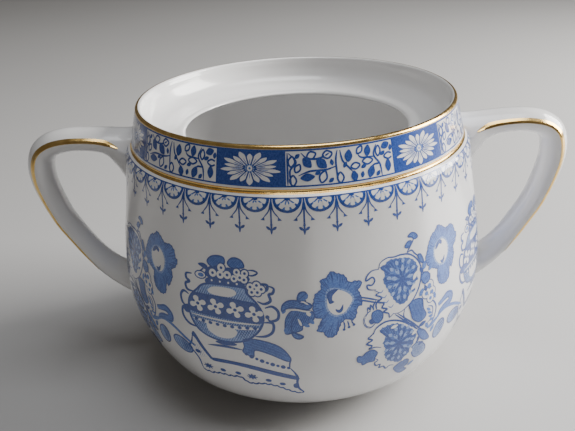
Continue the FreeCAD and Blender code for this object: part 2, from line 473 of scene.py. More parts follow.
def make_handle_gilding(side, back, node):
    """Gold line over one edge of the strap, thin at both ends."""
    rows = [r for r in station_rows(0.5) if r[0] > GILT_START_X and r[1] > GILT_LOW_H]
    verts = []
    faces = []
    n = len(rows)
    for k, row in enumerate(rows):
        half, rise = row[5:7]
        taper = min(1.0, 0.15 + k / 12.0, 0.15 + (n - 1 - k) / 16.0)
        line = [(-0.75 * taper, half + 0.36), (-0.35 * taper, half + 0.33)]
        for i in range(5):
            y = half - 0.75 * taper * i / 4
            line.append((crown(y, half, rise) + 0.04, y + (0.03 if i == 0 else 0.0)))
        verts += [strap_vertex(side, row, out, y * back) for out, y in line]
    for k in range(n - 1):
        for i in range(6):
            faces.append([k * 7 + i, k * 7 + i + 1, (k + 1) * 7 + i + 1, (k + 1) * 7 + i])
    if side * back > 0:
        faces = [f[::-1] for f in faces]
    obj = add_object(node + "_line", verts, faces, GOLD)
    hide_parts(node)
    return obj


def make_ring_gilding():
    lip = (RIM_R - LIP_R, -LIP_R)
    rim = turned("rim_line", arc_points(lip, LIP_R + 0.03, 98, 2, 10)[::-1], GOLD, closed=False)
    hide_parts("rim_gilding")
    bed = [(r + 0.03, h) for r, h in smooth(GROOVE[:4], step=0.12)][::-1]
    groove = turned("groove_line", bed, GOLD, closed=False)
    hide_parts("groove_gilding")
    return [rim, groove]


# ---------------------------------------------------------------- drawing the print

def inside_polygon(point, outline):
    x, y = point
    odd = False
    n = len(outline)
    for i in range(n):
        (x0, y0), (x1, y1) = outline[i], outline[(i + 1) % n]
        if (y0 > y) != (y1 > y) and x < (x1 - x0) * (y - y0) / (y1 - y0) + x0:
            odd = not odd
    return odd


def ruffled(outline, amount, wave):
    """Adds small even scallops to an outline."""
    out = []
    run = 0.0
    n = len(outline)
    for i in range(n):
        x0, y0 = outline[i - 1]
        x1, y1 = outline[(i + 1) % n]
        length = math.hypot(x1 - x0, y1 - y0) or 1.0
        run += math.dist(outline[i], outline[i - 1])
        push = amount * abs(math.sin(math.pi * run / wave))
        out.append((outline[i][0] + push * (y1 - y0) / length, outline[i][1] - push * (x1 - x0) / length))
    return out


class Print:
    """Collects printed shapes as thin faces that lie on the bowl."""

    def __init__(self, name, mm_per_degree=1.0):
        self.name = name
        self.scale = mm_per_degree
        self.verts = []
        self.faces = []
        self.inks = []
        self.shift = 0.0
        self.cut = None

    def add(self, points, faces, ink, layer):
        if self.cut is not None:
            faces = [f for f in faces if all(self.cut[0] <= points[i][0] <= self.cut[1] for i in f)]
        base = len(self.verts)
        lift = PRINT_LIFT + LAYER_LIFT * layer
        self.verts += [on_surface(a + self.shift, h, lift) for a, h in points]
        for face in faces:
            self.faces.append([base + i for i in face])
            self.inks.append(INK_NAMES.index(ink))

    def fill(self, points, ink="mid", layer=0, curved=True, ruffle=0.0, wave=1.5, step=0.5):
        outline = smooth(points, True, step) if curved else list(points)
        if ruffle:
            outline = ruffled(outline, ruffle, wave)
        xs = [p[0] for p in outline]
        ys = [p[1] for p in outline]
        grid = []
        pitch = 1.3
        x = min(xs) + 0.7
        while x < max(xs):
            y = min(ys) + 0.7
            while y < max(ys):
                if inside_polygon((x, y), outline) and min(math.dist((x, y), p) for p in outline) > 0.35:
                    grid.append((x, y))
                y += pitch
            x += pitch
        n = len(outline)
        edges = [(i, (i + 1) % n) for i in range(n)]
        result = delaunay_2d_cdt([Vector(p) for p in outline + grid], edges, [list(range(n))], 1, 1e-5)
        self.add([tuple(v) for v in result[0]], [list(f) for f in result[2]], ink, layer)
        return outline

    def stroke(self, points, width=0.36, ink="dark", layer=1, closed=False, taper=True, curved=True):
        line = smooth(points, closed, 0.45) if curved else list(points)
        n = len(line)
        out = []
        for i, (a, h) in enumerate(line):
            a0, h0 = line[(i - 1) % n] if closed else line[max(i - 1, 0)]
            a1, h1 = line[(i + 1) % n] if closed else line[min(i + 1, n - 1)]
            da, dh = (a1 - a0) * self.scale, h1 - h0
            length = math.hypot(da, dh) or 1.0
            half = width * PEN / 2
            if taper and not closed:
                half *= 0.35 + 0.65 * min(1.0, 4 * i / n, 4 * (n - 1 - i) / n)
            out.append((a - dh / length * half / self.scale, h + da / length * half))
            out.append((a + dh / length * half / self.scale, h - da / length * half))
        count = n if closed else n - 1
        faces = []
        for i in range(count):
            j = (i + 1) % n
            faces.append([2 * i, 2 * i + 1, 2 * j + 1, 2 * j])
        self.add(out, faces, ink, layer)

    def dot(self, a, h, size=0.5, ink="dark", layer=2, tall=1.0):
        ring = []
        for i in range(12):
            t = 2 * math.pi * i / 12
            ring.append((a + size * math.cos(t) / self.scale, h + size * tall * math.sin(t)))
        self.add(ring, [list(range(12))], ink, layer)

    def leaf(self, a, h, length, width, angle, ink="dark", layer=1, outlined=False):
        """Pointed leaf about (a, h); angle in degrees from the horizontal."""
        t = math.radians(angle)
        shape = []
        for u, v in ((-1, 0), (-0.45, 0.85), (0.2, 1.0), (1, 0), (0.2, -1.0), (-0.45, -0.85)):
            x, y = u * length / 2, v * width / 2
            shape.append((a + (x * math.cos(t) - y * math.sin(t)) / self.scale,
                h + x * math.sin(t) + y * math.cos(t)))
        if outlined:
            self.fill(shape, "white", layer - 1)
            self.stroke(shape, 0.34, "dark", layer, closed=True)
        else:
            self.fill(shape, ink, layer)

    def hatch(self, outline, angle, gap=0.5, width=0.16, ink="dark", layer=1):
        """Engraved parallel lines inside an outline."""
        t = math.radians(angle)
        c, s = math.cos(t), math.sin(t)
        turned_round = [(x * c + y * s, -x * s + y * c) for x, y in outline]
        ys = [p[1] for p in turned_round]
        y = min(ys) + gap / 2
        while y < max(ys):
            hits = []
            for i in range(len(turned_round)):
                (x0, y0), (x1, y1) = turned_round[i], turned_round[i - 1]
                if (y0 > y) != (y1 > y):
                    hits.append(x0 + (x1 - x0) * (y - y0) / (y1 - y0))
            hits.sort()
            for x0, x1 in zip(hits[0::2], hits[1::2]):
                steps = max(1, int((x1 - x0) / 1.5))
                xs = [x0 + (x1 - x0) * k / steps for k in range(steps + 1)]
                if x1 - x0 > 0.3:
                    self.stroke([(x * c - y * s, x * s + y * c) for x in xs], width, ink, layer,
                        curved=False)
            y += gap

    def rays(self, outline, centre, inner, ink="dark", layer=1, width=0.2, every=2):
        """Engraved lines from an outline in towards a centre."""
        cx, cy = centre
        for i in range(0, len(outline), every):
            x, y = outline[i]
            depth = inner * (0.65 + 0.35 * math.sin(i * 2.4))
            end = (x + (cx - x) * depth, y + (cy - y) * depth)
            mid = ((x + end[0]) / 2, (y + end[1]) / 2)
            self.stroke([(x, y), mid, end], width, ink, layer, curved=False)

    def build(self):
        obj = add_object(self.name, self.verts, self.faces, None)
        for ink in INK_NAMES:
            obj.data.materials.append(INKS[ink])
        for polygon, index in zip(obj.data.polygons, self.inks):
            polygon.material_index = index
        return obj


def ring_band(p, h, width, ink="dark"):
    """Thin printed line right round the bowl."""
    steps = 360
    points = []
    for i in range(steps):
        points += [(i * 360 / steps, h + width / 2), (i * 360 / steps, h - width / 2)]
    faces = []
    for i in range(steps):
        j = (i + 1) % steps
        faces.append([2 * i, 2 * i + 1, 2 * j + 1, 2 * j])
    p.add(points, faces, ink, 0)


# ---------------------------------------------------------------- the collar frieze

FRIEZE_TOP = -1.25
FRIEZE_LOW = -9.95
FRIEZE_PITCH = 54.0
DAISY_HALF = 10.6
FIRST_DAISY = -15.2


def daisy_panel(p):
    """Blue block with a flattened white daisy."""
    top, low = FRIEZE_TOP, FRIEZE_LOW
    mid = (top + low) / 2
    columns = 22
    points = []
    for i in range(columns + 1):
        a = -DAISY_HALF + 2 * DAISY_HALF * i / columns
        points += [(a, top), (a, mid), (a, low)]
    faces = []
    for i in range(columns):
        for k in range(2):
            faces.append([3 * i + k, 3 * i + k + 1, 3 * i + k + 4, 3 * i + k + 3])
    p.add(points, faces, "dark", 0)
    wide, tall = 9.1, 4.15
    for i in range(18):
        t = 2 * math.pi * (i + 0.5) / 18
        reach = 1.0 if i % 2 else 0.86
        spread = 0.15
        shape = []
        for r, side in ((0.24, 0), (0.60, -0.86), (0.82, -0.85), (1.02, 0), (0.82, 0.85), (0.60, 0.86)):
            angle = t + side * spread
            shape.append((wide * r * reach * math.cos(angle), mid + tall * r * reach * math.sin(angle)))
        p.fill(shape, "white", 1)
        p.stroke([(wide * 0.3 * math.cos(t), mid + tall * 0.3 * math.sin(t)),
            (wide * 0.62 * reach * math.cos(t), mid + tall * 0.62 * reach * math.sin(t))], 0.13, "mid", 2)
    for i in range(12):
        t = 2 * math.pi * i / 12
        p.dot(wide * 0.14 * math.cos(t), mid + tall * 0.22 * math.sin(t), 0.18, "light", 2)
    p.dot(0, mid, 0.75, "white", 2)
    p.dot(0, mid, 0.3, "mid", 3)


def leaf_panel(p):
    """White panel with curling stems, solid leaves and outlined leaves, from the panel's left edge."""
    solid = [(6.2, -4.3, 3.2, 2.1, -50), (10.4, -4.7, 3.4, 2.3, -42), (6.2, -7.9, 3.7, 1.9, 4),
        (18.5, -3.5, 3.2, 2.0, 82), (24.5, -2.9, 3.0, 1.8, 80), (30.5, -2.4, 2.6, 1.8, 20),
        (19.9, -8.7, 2.8, 1.8, 98), (25.2, -8.2, 3.3, 1.9, 68), (30.9, -7.5, 3.3, 1.7, 88)]
    open_leaves = [(7.5, -2.5, 2.4, 1.7, 20), (12.2, -2.6, 2.5, 1.8, 10), (1.7, -3.9, 2.6, 1.6, 80),
        (3.4, -5.6, 2.2, 1.4, 60), (2, -8.6, 2.6, 1.6, 90), (10.7, -8.0, 3.0, 1.8, 70),
        (15.7, -8.6, 2.6, 1.6, 90), (24.3, -5.4, 2.8, 1.6, 0), (20.4, -6.2, 2.4, 1.5, 8),
        (31.3, -5.1, 2.6, 1.5, 0), (22, -2.4, 2.2, 1.3, 50), (27.9, -3.4, 2.6, 1.3, 85)]
    stems = [
        [(0.8, -1.8), (3, -4), (1.2, -6.2), (1.6, -9.9)], [(15.2, -1.7), (14.6, -4.5), (15, -9.9)],
        [(14.8, -5.6), (11.5, -6.3), (7, -6.4), (3.6, -7.4)],
        [(16, -1.8), (16.6, -4.4), (18.4, -6.4), (19.5, -7.6)],
        [(27.5, -1.7), (26.4, -4.2), (28.2, -6.8), (28.6, -9.9)],
        [(26.6, -4.6), (22.6, -4.4), (21.4, -3.4)], [(28.2, -6.6), (26.4, -6.6), (25.6, -7.2)],
        [(4.5, -1.8), (6.5, -3.3), (10, -3.3), (13.6, -1.9)], [(0.5, -9.8), (0.5, -1.7)],
        [(33.2, -9.8), (33.2, -1.7)],
    ]
    for a, h, length, width, angle in open_leaves:
        p.leaf(a, h, length, width, angle, layer=2, outlined=True)
    for stem in stems:
        p.stroke(stem, 0.36, "dark", 1)
    for a, h, length, width, angle in solid:
        p.leaf(a, h, length, width, angle, "dark", 3)
    for a, h, angle in ((3.4, -2.6, 40), (9.2, -6.9, 30), (13.4, -4.6, 100), (13, -9.0, 40),
            (17.3, -5.6, 60), (22.4, -8.6, 80), (27.4, -9.0, 50), (29.4, -4.2, 30), (32.2, -3.2, 80),
            (23, -6.6, 20)):
        p.leaf(a, h, 1.7, 1.0, angle, "dark", 2)


def make_frieze():
    p = Print("print_on_collar", 0.87)
    ring_band(p, FRIEZE_TOP + 0.12, 0.42)
    ring_band(p, FRIEZE_LOW - 0.05, 0.4)
    whole = FRIEZE_PITCH - 2 * DAISY_HALF
    for k in range(-3, 4):
        p.shift = FIRST_DAISY + k * FRIEZE_PITCH
        daisy_panel(p)
        p.shift += DAISY_HALF
        last = k == 3
        p.cut = (0, 360 - 6 * FRIEZE_PITCH - 2 * DAISY_HALF) if last else (0, whole)
        leaf_panel(p)
        p.cut = None
    return p.build()


# ---------------------------------------------------------------- lace under the groove

LACE_REPEATS = 40
LACE_TOP = SHOULDER_H - 0.15


def fan(p):
    """Half-round fan with five white segments."""
    wide, deep = 3.75, 3.3
    rim = []
    for i in range(13):
        t = math.pi * i / 12
        rim.append((wide * math.cos(t), LACE_TOP - deep * math.sin(t)))
    p.stroke(rim, 0.5, "dark", 1, taper=False, curved=False)
    inner = [(x * 0.2, LACE_TOP + (h - LACE_TOP) * 0.2) for x, h in rim]
    p.fill([(-wide, LACE_TOP)] + [(x * 0.9, LACE_TOP + (h - LACE_TOP) * 0.9) for x,
        h in rim[::-1]] + [(wide, LACE_TOP)], "mid", 0, curved=False)
    for i in range(5):
        t = math.pi * (i + 0.5) / 5
        shape = []
        for r, side in ((0.24, 0), (0.60, -0.21), (0.86, -0.18), (0.86, 0.18), (0.60, 0.21)):
            shape.append((wide * r * math.cos(t + side), LACE_TOP - deep * r * math.sin(t + side)))
        p.fill(shape, "white", 2)
    for i in range(1, 5):
        t = math.pi * i / 5
        p.stroke([(0, LACE_TOP), (wide * 0.95 * math.cos(t), LACE_TOP - deep * 0.95 * math.sin(t))], 0.25,
            "dark", 3, taper=False, curved=False)
    p.fill(inner + [(0, LACE_TOP + 0.05)], "dark", 1, curved=False)


def pendant(p):
    """Stem with two curved side branches and a trefoil tip."""
    p.stroke([(0, LACE_TOP), (0, -17), (0, -21.2)], 0.34, "dark", 1, taper=False)
    for side in (-1, 1):
        p.stroke([(side * 0.2, LACE_TOP - 0.8), (side * 0.6, -15.6), (side * 2.2, -17.6)], 0.26, "dark", 1)
        p.fill([(side * 1.9, -17.2), (side * 3.0, -18.2), (side * 1.8, -18.3)], "dark", 1, curved=False)
        p.fill([(0, -20.9), (side * 0.7, -20), (side * 1.5, -19.9), (side * 1.1, -20.7)], "dark", 1)
    p.fill([(-0.5, -20.6), (0.5, -20.6), (0.12, -22), (-0.12, -22)], "dark", 1, curved=False)
    p.dot(0, -19.4, 0.34, "dark", 2)


def make_lace():
    p = Print("print_lace", 0.93)
    ring_band(p, LACE_TOP - 0.02, 0.3)
    for k in range(LACE_REPEATS):
        p.shift = 4.6 + k * 360 / LACE_REPEATS
        fan(p)
        p.shift += 180 / LACE_REPEATS
        pendant(p)
    return p.build()


# ---------------------------------------------------------------- the vase on its table

def four_petals(p, a, h, size, angle, layer):
    for k in range(4):
        t = math.radians(angle + 90 * k)
        p.dot(a + size * 0.72 * math.cos(t), h + size * 0.64 * math.sin(t), size * 0.37, "white", layer, 0.9)
        p.dot(a + size * 0.4 * math.cos(t), h + size * 0.36 * math.sin(t), size * 0.28, "white", layer, 0.9)
    p.dot(a, h, size * 0.4, "white", layer, 0.9)
    p.dot(a, h, size * 0.22, "dark", layer + 1, 0.9)


def bloom(p, dots, size):
    """Cluster of round white petals, each with a dark eye."""
    for a, h in dots:
        p.dot(a, h, size + 0.38, "dark", 3)
    for a, h in dots:
        p.dot(a, h, size, "white", 4)
    for a, h in dots:
        p.dot(a, h, 0.42, "dark", 5)


def vase(p):
    belly = [(-28, -37.6), (-31.6, -40), (-34, -43), (-34.3, -46.5), (-33.3, -50), (-31, -52.8),
        (-27, -54.4), (-22, -54.6), (-17.5, -53.4), (-14, -50.6), (-12.2, -47.5), (-12, -44.5),
        (-13.6, -41.5), (-16.4, -38.8), (-17.6, -37.2)]
    outline = p.fill(belly, "light", 0)
    p.stroke(belly, 0.42, "dark", 2, closed=True)
    p.hatch(outline, 62, 0.62, 0.17, "dark", 1)
    p.fill([(-28, -48.9), (-22, -49.4), (-19.6, -51), (-21.5, -53.2), (-25.5, -53.5), (-28.6, -51.6)],
        "white", 2)
    lower = [(-34, -47.4), (-28, -47.9), (-18, -48.1), (-12.4, -47.6), (-14.2, -50.6), (-17.8, -53.3),
        (-20.4, -52.2), (-19.2, -50.2), (-22.4, -49), (-28.2, -48.9), (-29.8, -51.4), (-26.6, -53.8),
        (-31, -52.6), (-33.2, -50)]
    p.hatch(lower, -48, 0.7, 0.17, "dark", 1)
    p.fill([(-26.6, -38.3), (-23.4, -37.9), (-20.2, -38.2), (-19.4, -39.4), (-21.6, -40.5), (-26.4, -40.5),
        (-28, -39.6)], "white", 2)
    band = [(-32.9, -41.2), (-28, -40.8), (-22.5, -40.7), (-17.5, -41), (-13.4, -41.7), (-11.9, -44.3),
        (-12.3, -47.2), (-18, -47.5), (-26, -47.2), (-33.9, -46.8), (-34.4, -44.2)]
    p.fill(band, "dark", 3)
    for a, h, turn in ((-31.3, -44.1, 20), (-25.7, -44.0, 24), (-19.9, -44.1, 20), (-14.5, -44.7, 14)):
        four_petals(p, a, h, 2.45, turn, 4)
    p.stroke([(-33.6, -47.7), (-23, -48), (-12.9, -47.8)], 0.34, "white", 4)
    p.stroke([(-33, -49), (-23, -49.6), (-13.4, -49.1)], 0.75, "white", 4)
    for k in range(9):
        a = -32.0 + k * 2.2
        p.dot(a, -49.0 - 0.5 * math.sin(math.pi * k / 8), 0.62, "dark", 5, 0.8)
    p.fill([(-27.9, -35.8), (-22.8, -35.5), (-17.5, -35.8), (-17.2, -37.4), (-22.5, -37.2), (-28.3, -37.5)],
        "dark", 3)
    for k in range(4):
        p.dot(-26.6 + 2.5 * k, -36.4, 0.3, "white", 4)
    p.fill([(-26.6, -55.2), (-23, -54.4), (-20, -55.1), (-21.6, -55.8), (-25.2, -55.9)], "dark", 2)
    p.fill([(-29.4, -57.1), (-24, -56), (-18.2, -56.7), (-24, -56.9)], "dark", 2)


def vase_scrolls(p):
    curls = [
        [(-34, -46.4), (-36.4, -46.4), (-36.7, -49), (-34.8, -51.2), (-31.8, -51.8)],
        [(-34.2, -42), (-36, -41.4), (-37.1, -43), (-36.5, -45.2), (-34.8, -46)],
        [(-33, -35.6), (-34.9, -35.9), (-34.9, -37.3), (-33.8, -38.1), (-35.2, -38.9),
            (-34.6, -40.6), (-32.2, -40.8)],
        [(-12.2, -47), (-9.4, -47), (-9.5, -49.6), (-11.5, -51.2), (-14.4, -51.6)],
        [(-11.4, -42.6), (-9.4, -42), (-7.8, -43.4), (-8, -45.6), (-10, -46.4), (-10.9, -45.2)],
        [(-12.2, -35.6), (-10.6, -36), (-10.8, -37.4), (-12.2, -37.6)],
        [(-10.4, -36.1), (-8.8, -36.8), (-9.2, -38.2), (-10.2, -38.6), (-9.8, -40.4),
            (-11.6, -41.4), (-13.4, -40.8)],
    ]
    for curl in curls:
        p.stroke(curl, 0.58, "dark", 2)
    p.fill([(-36.6, -46.2), (-34.4, -45.2), (-34.2, -47.6), (-35.6, -47.8)], "dark", 2)
    p.dot(-10.8, -45.2, 0.6)
    p.dot(-30.2, -35.4, 1.95, "dark", 2, 0.66)
    p.dot(-30.2, -35.4, 1.55, "white", 3, 0.6)
    p.dot(-30, -35.4, 0.95, "mid", 4, 0.62)
    p.fill([(-31, -32.4), (-29.4, -31.9), (-28, -32.5), (-27.8, -33.8), (-29.2, -33.4)], "dark", 2)
    p.stroke([(-29, -33.2), (-30.2, -34.4), (-29.8, -34.8)], 0.35)
    p.stroke([(-16, -32.2), (-14.2, -32.2), (-13.2, -32.8), (-14.6, -33.6), (-16.4, -33.6)], 0.35)


def vase_flowers(p):
    left_rose = [(-28, -31.2), (-26.8, -29.7), (-24.6, -29.2), (-22.9, -29.6), (-22.8, -31.2),
        (-24.4, -31.6), (-26.4, -32.6)]
    right_rose = [(-21.8, -30.9), (-20.8, -29.5), (-19.2, -29.2), (-17.6, -29.9), (-17, -31.4),
        (-18.6, -31.9), (-20.6, -32)]
    for shape in (left_rose, right_rose):
        outline = p.fill(shape, "mid", 2)
        p.hatch(outline, 50, 0.5, 0.15, "dark", 3)
        p.stroke(shape, 0.28, "dark", 3, closed=True)
    p.fill([(-28.2, -33), (-24, -32), (-18, -32.2), (-15.8, -33.2), (-16.4, -35.9), (-27.6, -35.9)], "dark",
        2, ruffle=0.2)
    bloom(p, [(-26.3, -34.2), (-24, -34.4), (-23.7, -32.4), (-21.9, -34.2)], 1.15)
    bloom(p, [(-19.1, -33.1), (-16.8, -33.2), (-18.2, -34.5), (-19.9, -35), (-17, -35)], 1)
    bloom(p, [(-15.3, -36.8), (-13.5, -36.2), (-13.3, -38.2), (-14.9, -38.3), (-12.2, -37.2)], 1.05)


def star(p, a, h, size):
    for k in range(4):
        t = math.pi * k / 4
        dx, dy = size * math.cos(t), size * 0.75 * math.sin(t)
        p.stroke([(a - dx, h - dy), (a, h), (a + dx, h + dy)], 0.55, "dark", 3, curved=False)
    p.dot(a, h, size * 0.5, "dark", 4)


def table(p):
    p.fill([(-34.4, -55), (-33.8, -53.7), (-33, -54.3), (-31.2, -57.6), (-29, -61.4), (-28.4, -62.7),
        (-29.5, -62.4), (-31.8, -58.8), (-33.4, -56)], "dark", 2)
    p.stroke([(-34.1, -54.6), (-34.8, -57.4), (-36, -59.6), (-34.6, -61.6), (-33.5, -64), (-33.4, -67.8)],
        0.45)
    p.fill([(-29, -61.9), (-24, -61.5), (-17, -61.9), (-10, -63.3), (-3.6, -65), (-3.4, -66.5), (-9, -65.3),
        (-16, -63.7), (-22, -62.9), (-28.6, -63)], "dark", 2, step=0.8)
    p.stroke([(-5.3, -61.8), (-4.2, -63.4), (-3.4, -65.4), (-3.6, -67.6), (-3.2, -70.4), (-1.9, -72.4),
        (-3.4, -73)], 0.55)
    edge = [(-33.3, -68), (-30.8, -68.6), (-27.6, -68), (-24, -68.1), (-20.8, -67.8), (-19.2, -69.5),
        (-17.2, -70), (-13.6, -69.4), (-10, -69.9), (-7.2, -71.2), (-5, -72.3), (-2.8, -72.9)]
    scallops = smooth(edge, step=0.35)
    lifted = []
    run = 0.0
    for i, (a, h) in enumerate(scallops):
        run += math.dist(scallops[i - 1], (a, h)) if i else 0.0
        lifted.append((a, h + 0.32 - 0.5 * abs(math.sin(math.pi * run / 1.9))))
    p.stroke(lifted, 0.46, "dark", 2, curved=False, taper=False)
    star(p, -31.0, -65.9, 1.6)
    star(p, -17.0, -66.8, 1.7)
    for a, h in ((-26.2, -66.2), (-21.3, -66.2), (-12.1, -67.6), (-8, -68.7), (-33.3, -60.7)):
        p.dot(a, h, 0.95, "dark", 2, 0.72)
    p.fill([(-4.8, -68.6), (-3.6, -68), (-3.4, -70.2), (-4.6, -70.2)], "dark", 2)
    p.hatch([(-34.6, -58), (-32.8, -58), (-30.6, -62.2), (-33.2, -62.8)], 60, 0.6, 0.14, "mid", 1)


def book(p):
    lid = [(-17.8, -53), (-14, -52.6), (-9.6, -53.5), (-6.8, -55.2), (-5, -58.2), (-6, -59.2),
        (-10.5, -57.2), (-14.8, -56.2), (-15.6, -58.6), (-18.4, -57.4), (-17.9, -55.4)]
    outline = p.fill(lid, "mid", 1, step=0.7)
    p.hatch(outline, 20, 0.5, 0.15, "dark", 2)
    p.stroke(lid, 0.26, "dark", 3, closed=True)
    p.stroke([(-4.9, -58.2), (-5.4, -60.2), (-5.4, -61.6)], 0.34)
    for k in range(9):
        t = k / 8
        p.dot(-17.6 + 11.8 * t, -58.0 - 3.7 * t - 0.5 * math.sin(math.pi * t), 0.7 if k % 2 else 0.5,
            "dark", 2)


def vase_group(p):
    vase_scrolls(p)
    vase(p)
    vase_flowers(p)
    book(p)
    table(p)


# ---------------------------------------------------------------- the flower spray

def poppy(p, petals, heart, upper_mark, lower_mark):
    """Ruffled flower with a white middle and two dark curved marks."""
    outline = p.fill(petals, "mid", 1, ruffle=0.28, wave=1.4)
    cx = sum(a for a, _ in heart) / len(heart)
    ch = sum(h for _, h in heart) / len(heart)
    p.rays(outline, (cx, ch), 0.42, "dark", 2, 0.2, 2)
    p.stroke(outline, 0.24, "dark", 2, closed=True, curved=False)
    halo = [(cx + (a - cx) * 1.22, ch + (h - ch) * 1.2) for a, h in heart]
    halo_line = p.fill(halo, "light", 3, ruffle=0.25, wave=1.1)
    p.rays(halo_line, (cx, ch), 0.2, "mid", 4, 0.2, 2)
    p.fill(heart, "white", 5)
    p.fill(upper_mark, "dark", 6)
    p.fill(lower_mark, "dark", 6)


def front_poppy(p):
    """Poppy to the right of the book."""
    petals = [(6.6, -32.4), (8.4, -33.2), (10.4, -34.1), (11.6, -36.1), (13.2, -36), (15.1, -36.5),
        (14.9, -37.9), (14.1, -38.8), (14.8, -40.6), (15.1, -43.2), (13.7, -43.9), (13.4, -45.9),
        (12.3, -47.6), (10.6, -46.9), (9.2, -47.6), (8.4, -49.4), (7.6, -51.2), (6, -51.9), (4.6, -51.2),
        (3.9, -49.9), (2.3, -49.4), (2.7, -47.7), (3.6, -45.6), (2.3, -45.5), (1.5, -43.9), (1.3, -41.8),
        (1.7, -39.8), (2.1, -38.3), (3.5, -37.3), (3.7, -35.8), (3.6, -34.5), (5.2, -34)]
    heart = [(6.2, -37.8), (8.8, -38), (11.2, -39.4), (12.2, -41.2), (11, -43.4), (9.6, -44.8),
        (7.2, -44.9), (5.6, -43), (5.3, -40.2)]
    upper_mark = [(5.2, -38.8), (6.6, -37.6), (8.4, -37.7), (7.5, -38.6), (6.8, -39.4), (6.7, -40.6),
        (7.3, -41.2), (6, -41.6), (5.5, -40.4)]
    lower_mark = [(7.5, -43.3), (8.6, -43.6), (9.6, -42.2), (9.5, -43.9), (8.6, -44.6), (7.7, -44.1)]
    poppy(p, petals, heart, upper_mark, lower_mark)


def far_poppy(p):
    """Poppy at the far end of the spray."""
    petals = [(42, -27.5), (44, -28.3), (46, -29.6), (48.6, -29.4), (50.4, -30.6), (51, -32.4),
        (51.9, -33.4), (50.9, -35.6), (49.4, -36.6), (49.7, -38.6), (48.9, -40.6), (47.8, -42.3),
        (46.8, -41.9), (46.3, -44.7), (44, -45.9), (41.2, -44.9), (40.1, -42.4), (40.3, -40.2),
        (38.5, -39.1), (36.5, -37.7), (35.5, -35.5), (36.4, -33.2), (37.1, -31.5), (38.7, -29.4),
        (40.6, -28.6)]
    heart = [(40.2, -33), (42.5, -32), (44.6, -32.6), (46, -34.8), (45.6, -37.4), (44, -39), (41.6, -38.8),
        (39.8, -36.8), (39.4, -34.6)]
    upper_mark = [(39.9, -34), (40.6, -32.6), (42.2, -31.9), (43.4, -32.6), (43, -33.5), (42, -33),
        (41, -33.8)]
    lower_mark = [(41.9, -38.1), (43.1, -38), (44.1, -37), (43.9, -38.5), (42.8, -39.2)]
    poppy(p, petals, heart, upper_mark, lower_mark)


def engraved(p, shape, ink="mid", layer=1, angle=60, edge=0.28, gap=0.5, ruffle=0.0):
    """Leaf or petal with an even tone, engraved lines and a dark edge."""
    outline = p.fill(shape, ink, layer, ruffle=ruffle, wave=1.3)
    p.hatch(outline, angle, gap, 0.15, "dark", layer + 1)
    p.stroke(outline, edge, "dark", layer + 2, closed=True, curved=False)
    return outline


def left_leaves(p):
    engraved(p, [(-2.6, -39.6), (-2, -37.8), (-0.6, -37.5), (0, -38.4), (-0.7, -39.3), (-0.4, -40.4),
        (-1.6, -40.9)], angle=40)
    engraved(p, [(-6.8, -43.2), (-6.6, -41.4), (-5, -40.1), (-2.4, -40), (0, -40.6), (1.2, -41.6),
        (0, -42.6), (-3, -42.1), (-5.4, -42.3)], angle=20, layer=2)
    engraved(p, [(-6.1, -48), (-5.8, -45.4), (-4.6, -43.4), (-2.6, -42.4), (-0.4, -42.6), (1.6, -43.6),
        (1.6, -45.4), (0.2, -46.6), (-1.4, -47.4), (-1.6, -48.6), (-3.4, -49.4), (-4.6, -49.8), (-6, -50)],
        angle=65)
    engraved(p, [(-4.4, -49.4), (-3, -49.8), (-1.3, -50.7), (-2.4, -51.5), (-3.8, -51)], angle=-30)
    p.stroke([(-5.4, -42.9), (-3, -42.6), (-0.4, -43.1), (1, -43)], 0.34, "white", 5)
    for a, h, angle in ((-5.9, -49.0, 100), (-0.4, -47.2, 150), (1, -46.2, 130), (-6.3, -43.0, 70),
            (-0.3, -38.9, 60)):
        p.leaf(a, h, 2.0, 1.1, angle, "mid", 4)
    p.stroke([(-2.2, -43.6), (-3.6, -45), (-4.4, -47.2), (-4.3, -49.2)], 0.26, "dark", 5)
    p.stroke([(-1.7, -40.3), (-0.9, -40.4), (0.3, -41.2)], 0.3, "white", 5)
    p.fill([(-2.6, -45.2), (-1.8, -46.2), (-1.6, -47.4), (-2.3, -46.8)], "white", 4)
    p.fill([(-0.2, -43), (0.9, -43.8), (0.6, -44.6), (-0.3, -44)], "white", 4)


def stems(p):
    for offset in (0, -0.85):
        p.stroke([(12.3, -40.7 + offset), (15.4, -41.4 + offset), (19.6, -43.0 + offset)], 0.36)
    for points, width in (([(19.9, -42.9), (19, -44.2), (19.2, -45.8)], 0.36),
            ([(19.1, -42.9), (18.2, -44.4), (18.3, -45.8)], 0.36),
            ([(28, -47.8), (27.6, -50), (29, -52.6), (33.4, -55.8)], 0.32),
            ([(32.2, -28.2), (31, -29.8), (29.4, -31.7)], 0.34),
            ([(29.4, -31.8), (31, -31.4), (32, -32.6), (33.2, -33.6)], 0.32)):
        p.stroke(points, width)
    for offset in (0, 0.9):
        p.stroke([(24.6 + offset, -48.6), (27.6 + offset, -51.4), (31.0 + offset, -54.6),
            (36.6 + offset, -61)], 0.4)
    p.stroke([(41, -55.4), (44.8, -54.3), (50, -55.6), (56.2, -59)], 0.75, "mid", 2)
    p.stroke([(41, -55), (44.8, -53.9), (50, -55.2), (56.2, -58.6)], 0.25)
    p.stroke([(36.2, -57.4), (38.6, -56.6), (41, -55.4)], 0.9, "mid", 2)
    for k in range(3):
        p.stroke([(9.6 + 1.1 * k, -47.4), (9.9 + 1.1 * k, -48.8 + 0.3 * k),
            (9.7 + 1.4 * k, -49.8 + 0.5 * k)], 0.32)
        p.dot(9.7 + 1.4 * k, -49.9 + 0.5 * k, 0.42)


